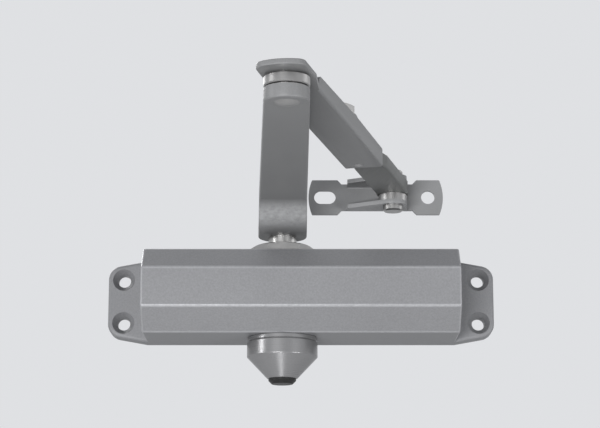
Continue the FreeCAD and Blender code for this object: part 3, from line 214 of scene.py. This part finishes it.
def barPaint(piece):
    paint = Finish(piece + "Paint", Specular_IOR_Level=bar["gloss"])
    dark, light = (grey(level, bar["tint"]) for level in bar[piece])
    flakes = paint.noise(bar["flakes"])
    clouds = paint.noise(bar["clouds"])
    first, second = bar["shares"]
    colour = paint.blend(dark, light, flakes * first + clouds * second)
    paint.set("Base Color", armHighlightAndShade(paint, colour) if piece == "arm" else colour)
    paint.set("Metallic", bar["metal"])
    first, second = bar["roughShares"]
    paint.set("Roughness", paint.between(*bar["rough"], flakes * first + clouds * second))
    paint.bump(paint.noise(bar["relief"]), bar["depth"], bar["strength"])
    return paint.material


cap = {"tint": (0.99, 0.99, 1.01), "greys": (0.19, 0.3), "metal": 0.55, "gloss": 0.3, "ringPitch": 0.00022,
       "ringDetail": 2.0, "clouds": (60, 3.0, 0.5), "flakes": (2400, 2.0, 0.5), "shares": (0.4, 0.3, 0.3),
       "rough": (0.24, 0.34), "roughShares": (0.6, 0.4), "depth": 0.00001, "strength": 0.6}


def satinCap(axis):
    satin = Finish("capSilver", Metallic=cap["metal"], Specular_IOR_Level=cap["gloss"])
    dark, light = (grey(level, cap["tint"]) for level in cap["greys"])
    along = satin.radius((axis.x, axis.y, 0)) + satin.axis("Z")
    turns = {"W": along * (1 / cap["ringPitch"]), "Scale": 1.0, "Detail": cap["ringDetail"]}
    rings = satin.node("ShaderNodeTexNoise", {"noise_dimensions": "1D"}, turns, "Fac")
    clouds = satin.noise(cap["clouds"])
    flakes = satin.noise(cap["flakes"])
    first, second, third = cap["shares"]
    satin.set("Base Color", satin.blend(dark, light, rings * first + clouds * second + flakes * third))
    first, second = cap["roughShares"]
    satin.set("Roughness", satin.between(*cap["rough"], rings * first + clouds * second))
    satin.bump(rings, cap["depth"], cap["strength"])
    return satin.material


# finishes with one cloudy noise in colour and roughness and a fine one in relief

cloudy = {
    "zincPlate": {"metal": 1.0, "gloss": 0.5, "colours": (grey(0.24, (1.0, 0.99, 0.98)),
                                                          grey(0.38, (1.0, 0.99, 0.98))),
                  "clouds": (160, 4.0, 0.6), "rough": (0.30, 0.44), "relief": (900, 2.0, 0.5),
                  "depth": 0.00002, "strength": 0.5},
    "groundSteel": {"metal": 1.0, "gloss": 0.5, "colours": (grey(0.34, (1.0, 0.99, 0.97)),
                                                            grey(0.46, (1.0, 0.99, 0.97))),
                    "clouds": (240, 4.0, 0.6), "rough": (0.26, 0.42), "relief": (1400, 2.0, 0.5),
                    "depth": 0.00001, "strength": 0.6},
    "bronze": {"metal": 1.0, "gloss": 0.5, "colours": ((0.42, 0.25, 0.11, 1), (0.55, 0.35, 0.17, 1)),
               "clouds": (500, 3.0, 0.5), "rough": (0.35, 0.55), "relief": (1600, 2.0, 0.5),
               "depth": 0.00003, "strength": 0.6},
    "blackPlastic": {"metal": 0.0, "gloss": 0.2, "colours": (grey(0.012), grey(0.022)),
                     "clouds": (220, 3.0, 0.5), "rough": (0.45, 0.45), "relief": (700, 2.0, 0.5),
                     "depth": 0.00003, "strength": 0.5},
    "rubber": {"metal": 0.0, "gloss": 0.15, "colours": (grey(0.014), grey(0.03)),
               "clouds": (260, 3.0, 0.5), "rough": (0.55, 0.75)},
}


def cloudyFinish(name):
    plan = cloudy[name]
    finish = Finish(name, Metallic=plan["metal"], Specular_IOR_Level=plan["gloss"])
    clouds = finish.noise(plan["clouds"])
    finish.set("Base Color", finish.blend(*plan["colours"], clouds))
    low, high = plan["rough"]
    finish.set("Roughness", low if low == high else finish.between(low, high, clouds))
    if "relief" in plan:
        finish.bump(finish.noise(plan["relief"]), plan["depth"], plan["strength"])
    return finish.material


rod = {"tint": (0.98, 1.0, 0.99), "greys": (0.10, 0.24), "metal": 0.4, "gloss": 0.2, "rough": (0.34, 0.6),
       "turn": 76.3, "streak": (60, 900, 900), "streaks": (1.0, 3.0, 0.6), "clouds": (90, 4.0, 0.65),
       "shares": (0.4, 0.6), "depth": 0.00002, "strength": 0.5}


def rodSteel():
    steel = Finish("rodSteel", Metallic=rod["metal"], Specular_IOR_Level=rod["gloss"])
    dark, light = (grey(level, rod["tint"]) for level in rod["greys"])
    turned = steel.node("ShaderNodeVectorRotate", {"rotation_type": "Z_AXIS"},
                        {"Vector": steel.place, "Angle": math.radians(rod["turn"])}, "Vector")
    streaks = steel.noise(rod["streaks"], steel.scaled(turned, rod["streak"]))
    clouds = steel.noise(rod["clouds"])
    first, second = rod["shares"]
    steel.set("Base Color", steel.blend(dark, light, streaks * first + clouds * second))
    steel.set("Roughness", steel.between(*rod["rough"], clouds))
    steel.bump(streaks, rod["depth"], rod["strength"])
    return steel.material


low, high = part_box("spindle_cap")
capAxis = (Vector(low) + Vector(high)) / 2
finishes = {
    "casting": castingPaint(),
    "arm_paint": barPaint("arm"),
    "plated_steel": cloudyFinish("zincPlate"),
    "turned_cap": satinCap(capAxis),
    "black_plastic": cloudyFinish("blackPlastic"),
    "steel": cloudyFinish("groundSteel"),
    "bronze": cloudyFinish("bronze"),
    "rubber": cloudyFinish("rubber"),
}
for part in frame["record"]["subparts"]:
    mesh = frame["nodes"][part["node"]].data
    mesh.materials.clear()
    mesh.materials.append(finishes[part["material_slot"]])
finishes["rod_steel"] = rodSteel()
# a lighter copy of the arm paint for the shoe: painted light
finishes["shoe_lightened_paint"] = barPaint("shoe")
print("finishes on:", ", ".join(finishes))


# pieces

weld = {"points": 0.000002, "cut": 0.000001}


def placed(name, shape, finish):
    mesh = bpy.data.meshes.new(name)
    shape.to_mesh(mesh)
    shape.free()
    made = bpy.data.objects.new(name, mesh)
    bpy.context.scene.collection.objects.link(made)
    mesh.materials.append(finish)
    return made


def copied(node):
    source = frame["nodes"][node]
    shape = bmesh.new()
    shape.from_mesh(source.data)
    shape.transform(source.matrix_world)
    bmesh.ops.remove_doubles(shape, verts=shape.verts, dist=weld["points"])
    return shape


shading = {"broadFace": 0.00002, "broadTurn": 10, "smallTurn": 40}


def shadeBySize(shape):
    bmesh.ops.recalc_face_normals(shape, faces=shape.faces)
    for edge in shape.edges:
        broad = max(face.calc_area() for face in edge.link_faces) > shading["broadFace"]
        turn = shading["broadTurn"] if broad else shading["smallTurn"]
        edge.smooth = edge.calc_face_angle(0) < math.radians(turn)
    for face in shape.faces:
        face.smooth = True


# the main arm, with the long soft bend that its hub end has underneath

armPlan = {"axis": (-0.008, -0.021), "turn": 1.0, "seat": 0.0257, "rise": 0.0098, "thick": 0.0049,
           "slope": (0.013, 0.027), "inner": 0.005, "bend": (0.0076, 0.0276), "ease": 0.006,
           "cuts": (0.007, 0.036, 0.0005), "flat": 1, "edge": 0.0006, "segments": 3, "reach": 0.178,
           "hubHole": 0.008, "pinHole": 0.0036, "holeRim": 0.001, "corner": 60, "down": -0.5}


def folded(along, floor, rise, corners, radii):
    low, high = corners
    angle = math.atan2(rise, high - low)
    before, after = (radius * math.tan(angle / 2) for radius in radii)
    if along < low - before:
        return floor
    if along < low + before * math.cos(angle):
        return floor + radii[0] - math.sqrt(radii[0] ** 2 - (along - low + before) ** 2)
    if along < high - after * math.cos(angle):
        return floor + (along - low) * math.tan(angle)
    if along < high + after:
        return floor + rise - radii[1] + math.sqrt(radii[1] ** 2 - (high + after - along) ** 2)
    return floor + rise


def softUnder(along):
    start, end = armPlan["bend"]
    top = armPlan["seat"] + armPlan["rise"]
    if along <= start:
        return armPlan["seat"]
    curve = armPlan["seat"] + armPlan["rise"] * ((along - start) / (end - start)) ** 2
    ease = max(armPlan["ease"] - abs(curve - top), 0)
    return min(curve, top) - ease ** 2 / (4 * armPlan["ease"])


def bendArm(shape, direction, origin):
    start, end, step = armPlan["cuts"]
    for index in range(int((end - start) / step) + 1):
        bmesh.ops.bisect_plane(shape, geom=shape.verts[:] + shape.edges[:] + shape.faces[:],
                               dist=weld["cut"], plane_co=origin + direction * (start + index * step),
                               plane_no=direction)
    angle = math.atan2(armPlan["rise"], armPlan["slope"][1] - armPlan["slope"][0])
    shift = armPlan["thick"] * math.tan(angle / 2)
    outer = armPlan["inner"] + armPlan["thick"]
    topSlope = tuple(corner - shift for corner in armPlan["slope"])
    for vert in shape.verts:
        along = (vert.co - origin).dot(direction)
        if start <= along <= end:
            under = folded(along, armPlan["seat"], armPlan["rise"], armPlan["slope"],
                           (outer, armPlan["inner"]))
            top = folded(along, armPlan["seat"] + armPlan["thick"], armPlan["rise"], topSlope,
                         (armPlan["inner"], outer))
            share = (vert.co.z - under) / (top - under)
            vert.co.z = softUnder(along) + share * (top - softUnder(along))


def outlineEdges(shape, direction, origin):
    elbow = origin + direction * armPlan["reach"]
    picked = []
    for edge in shape.edges:
        middle = (edge.verts[0].co + edge.verts[1].co) / 2
        level = Vector((middle.x, middle.y, 0))
        hole = min((level - origin).length - armPlan["hubHole"], (level - elbow).length - armPlan["pinHole"])
        sharp = len(edge.link_faces) == 2 and edge.calc_face_angle(0) > math.radians(armPlan["corner"])
        underneath = any(face.normal.z < armPlan["down"] for face in edge.link_faces)
        if sharp and underneath and hole > armPlan["holeRim"]:
            picked.append(edge)
    return picked


def mainArm():
    turn = math.radians(armPlan["turn"])
    direction = Vector((math.sin(turn), -math.cos(turn), 0))
    origin = Vector(armPlan["axis"] + (0,))
    shape = copied("main_arm")
    bmesh.ops.dissolve_limit(shape, angle_limit=math.radians(armPlan["flat"]), verts=shape.verts,
                             edges=shape.edges)
    bmesh.ops.bevel(shape, geom=outlineEdges(shape, direction, origin), offset=armPlan["edge"],
                    affect="EDGES", segments=armPlan["segments"], profile=0.5, material=-1,
                    clamp_overlap=True)
    bendArm(shape, direction, origin)
    shadeBySize(shape)
    piece = placed("main_arm_bar", shape, finishes["arm_paint"])
    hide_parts("main_arm")
    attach(piece, "spindle_arm")
    print("arm bar:", len(piece.data.polygons), "faces")


mainArm()


# folded sheet pieces with their stamped edges broken: piece, body, finish, width of the broken edge

sheets = {"forearm_channel": ("forearm_channel_sheet", "forearm", "arm_paint", 0.00022),
          "shoe_bracket": ("shoe_bracket_sheet", "shoe", "shoe_lightened_paint", 0.00022),
          "forearm_rod": ("forearm_rod_sheet", "rod", "rod_steel", 0.0002)}
stamped = {"flat": 0.5, "corner": 60, "segments": 2}


def sheet(node, name, body, finish, width):
    shape = copied(node)
    bmesh.ops.dissolve_limit(shape, angle_limit=math.radians(stamped["flat"]), verts=shape.verts,
                             edges=shape.edges)
    sharp = [edge for edge in shape.edges
             if len(edge.link_faces) == 2 and edge.calc_face_angle(0) > math.radians(stamped["corner"])]
    bmesh.ops.bevel(shape, geom=sharp, offset=width, affect="EDGES", segments=stamped["segments"],
                    profile=0.5, material=-1, clamp_overlap=True)
    shadeBySize(shape)
    piece = placed(name, shape, finishes[finish])
    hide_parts(node)
    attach(piece, body)
    print(name, len(sharp), "edges broken,", len(piece.data.polygons), "faces")


for node, plan in sheets.items():
    sheet(node, *plan)


# the spring inside the casting, smooth-shaded and carried by the closer body


def spring():
    shape = copied("closing_spring")
    for face in shape.faces:
        face.smooth = True
    piece = placed("closing_spring_coil", shape, finishes["steel"])
    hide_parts("closing_spring")
    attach(piece, "closer_body")
    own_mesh(piece)


spring()


# stage, light and camera

studio = {"aim": (0, -0.08, 0), "floorLevel": -0.62, "floorHalf": 6.0, "floorPaint": grey(0.55),
          "bounce": grey(0.22), "floorRough": 0.8, "floorGlow": 0.62, "backdrop": (0.74, 0.75, 0.77, 1),
          "ambient": (0.62, 0.64, 0.68, 1), "ambientStrength": 0.2}


def shownRays(nodes, links):
    path = nodes.new("ShaderNodeLightPath")
    shown = path.outputs["Is Camera Ray"]
    for ray in ("Is Glossy Ray", "Is Transmission Ray"):
        added = nodes.new("ShaderNodeMath")
        added.operation = "ADD"
        added.use_clamp = True
        links.new(shown, added.inputs[0])
        links.new(path.outputs[ray], added.inputs[1])
        shown = added.outputs[0]
    return shown


def floor():
    shape = bmesh.new()
    bmesh.ops.create_grid(shape, x_segments=1, y_segments=1, size=studio["floorHalf"])
    bmesh.ops.translate(shape, verts=shape.verts, vec=(0, 0, studio["floorLevel"]))
    mesh = bpy.data.meshes.new("floor")
    shape.to_mesh(mesh)
    shape.free()
    made = bpy.data.objects.new("floor", mesh)
    bpy.context.scene.collection.objects.link(made)
    pale = Finish("floorPaint", Roughness=studio["floorRough"], Emission_Strength=studio["floorGlow"])
    shown = Wire(pale, shownRays(pale.tree.nodes, pale.tree.links))
    pale.set("Base Color", pale.blend(studio["bounce"], studio["floorPaint"], shown))
    pale.set("Emission Color", pale.blend((0, 0, 0, 1), studio["backdrop"], shown))
    mesh.materials.append(pale.material)


def paleWorld():
    world = bpy.data.worlds.new("studio")
    bpy.context.scene.world = world
    world.use_nodes = True
    nodes = world.node_tree.nodes
    links = world.node_tree.links
    lit = nodes["Background"]
    lit.inputs["Color"].default_value = studio["ambient"]
    lit.inputs["Strength"].default_value = studio["ambientStrength"]
    seen = nodes.new("ShaderNodeBackground")
    seen.inputs["Color"].default_value = studio["backdrop"]
    mix = nodes.new("ShaderNodeMixShader")
    links.new(shownRays(nodes, links), mix.inputs[0])
    links.new(lit.outputs[0], mix.inputs[1])
    links.new(seen.outputs[0], mix.inputs[2])
    links.new(mix.outputs[0], nodes["World Output"].inputs["Surface"])


lamps = {
    "key": {"at": (-0.3, -1.0, -0.24), "size": (0.5, 0.22), "watts": 7.6},
    "left": {"at": (-1.1, -0.4, 0.16), "size": (0.25, 0.25), "watts": 2.2},
    "fill": {"at": (0.7, -0.75, -0.25), "size": (0.4, 0.3), "watts": 3.7},
    "top": {"at": (-0.6, 0.55, 1.05), "size": (0.8, 0.8), "watts": 4},
    "back": {"at": (-0.6, 0.85, 0.7), "size": (0.6, 0.6), "watts": 6},
    "side": {"at": (1.2, 0.15, 0.3), "size": (0.5, 0.5), "watts": 1.2},
    "under": {"at": (-0.05, -0.17, -0.55), "size": (0.08, 0.16), "watts": 0.2},
}


def lamp(name, plan, aim):
    light = bpy.data.lights.new(name, "AREA")
    light.shape = "RECTANGLE"
    light.size, light.size_y = plan["size"]
    light.energy = plan["watts"]
    made = bpy.data.objects.new(name, light)
    made.location = plan["at"]
    made.rotation_euler = (aim - made.location).to_track_quat("-Z", "Y").to_euler()
    bpy.context.scene.collection.objects.link(made)


lens = {"at": (0.0, -0.8267, -0.1448), "pitch": 12.67, "focal": 114.0, "shift": (-1 / 600, 0.0)}


def camera():
    data = bpy.data.cameras.new("camera")
    data.lens = lens["focal"]
    data.shift_x, data.shift_y = lens["shift"]
    made = bpy.data.objects.new("camera", data)
    made.location = lens["at"]
    made.rotation_euler = (math.radians(90 + lens["pitch"]), 0, 0)
    bpy.context.scene.collection.objects.link(made)
    bpy.context.scene.camera = made


floor()
paleWorld()
for lampName, lampPlan in lamps.items():
    lamp(lampName, lampPlan, Vector(studio["aim"]))
camera()
bpy.context.scene.view_settings.view_transform = "Standard"
print("stage, light and camera set")
